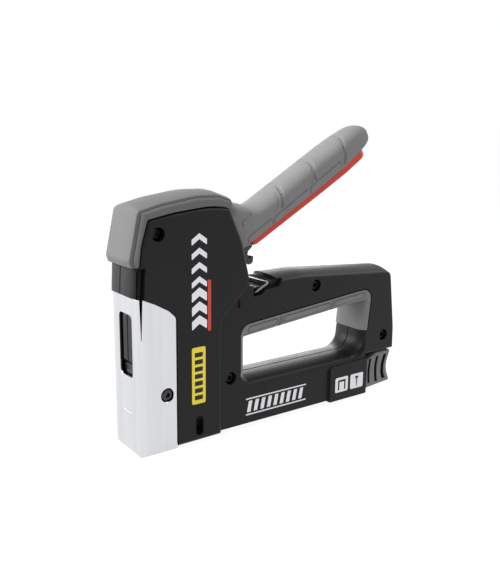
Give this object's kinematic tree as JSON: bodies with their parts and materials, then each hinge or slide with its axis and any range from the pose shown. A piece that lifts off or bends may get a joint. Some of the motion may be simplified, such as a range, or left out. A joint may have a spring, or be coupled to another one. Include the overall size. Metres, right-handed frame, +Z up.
{
  "type": "staple gun",
  "caption": "Hand staple gun with a sprung squeeze lever, a steel nose cover, a closed grip with a finger opening, and a bottom magazine that pulls out to the rear.",
  "frame": {"origin": "middle of the tool's length and width, at the base that stands on the surface", "axes": "+Z up from the base, +X from the nose towards the rear of the grip, +Y to the tool's far side seen with the nose on the left"},
  "size_m": [0.1903, 0.0316, 0.1689],
  "materials": {
    "housing": "fine matt texture, moulded glass-filled nylon",
    "bush": "smooth",
    "soft_grip": "soft matt thermoplastic rubber",
    "red_insert": "satin",
    "chrome_cover": "polished",
    "bright_steel": "zinc plated",
    "staple_wire": "galvanised",
    "dark_steel": "blackened",
    "black_screw": "black phosphate",
    "bumper_rubber": "plain"
  },
  "bodies": {
    "housing": {"housing_left": "housing", "housing_right": "housing", "nose_cover": "chrome_cover", "top_cap": "soft_grip", "grip_pad": "soft_grip", "screw_tower": "black_screw", "screw_frame": "black_screw", "screw_grip": "black_screw", "screw_rear": "black_screw", "nose_screw_left": "black_screw", "nose_screw_right": "black_screw", "pivot_pin": "bright_steel", "pivot_bush_left": "bush", "pivot_bush_right": "bush", "lever_return_spring": "bright_steel", "spring_seat": "bright_steel", "bumper": "bumper_rubber", "driver_guide": "bright_steel", "magazine_channel": "bright_steel", "staple_strip": "staple_wire"},
    "lever": {"lever_core": "dark_steel", "lever_grip": "soft_grip", "lever_insert": "red_insert", "lever_hook": "dark_steel", "hook_pin": "bright_steel"},
    "striker": {"striker_carriage": "dark_steel", "lift_pin_left": "bright_steel", "lift_pin_right": "bright_steel", "driver_blade": "bright_steel", "main_spring": "bright_steel"},
    "magazine": {"magazine_rail": "bright_steel", "magazine_knob": "soft_grip", "knob_rivet": "bright_steel", "pusher_rod": "bright_steel", "pusher_spring": "bright_steel"},
    "pusher": {"staple_pusher": "dark_steel"},
    "bail": {"lock_bail": "bright_steel"}
  },
  "joints": [
    {"name": "lever_hinge", "type": "hinge", "parent": "housing", "child": "lever", "pos_m": [-0.0411, 0, 0.108], "axis": [0, 1, 0], "range_deg": [0, 29], "stiffness_Nm_per_rad": 2, "springref_deg": -11.46},
    {"name": "striker_slide", "type": "slide", "parent": "housing", "child": "striker", "axis": [0, 0, 1], "range_m": [0, 0.0168], "deforming": ["main_spring"]},
    {"name": "magazine_slide", "type": "slide", "parent": "housing", "child": "magazine", "axis": [1, 0, 0], "range_m": [0, 0.105]},
    {"name": "pusher_slide", "type": "slide", "parent": "magazine", "child": "pusher", "axis": [1, 0, 0], "range_m": [0, 0.07], "stiffness_N_per_m": 20, "springref_m": -0.01, "deforming": ["pusher_spring"]},
    {"name": "bail_hinge", "type": "hinge", "parent": "housing", "child": "bail", "pos_m": [-0.0186, 0, 0.0778], "axis": [0, -1, 0], "range_deg": [0, 44]}
  ],
  "couplings": [
    {"joint": "striker_slide", "follows": "lever_hinge", "m_per_rad": 0.0325}
  ]
}
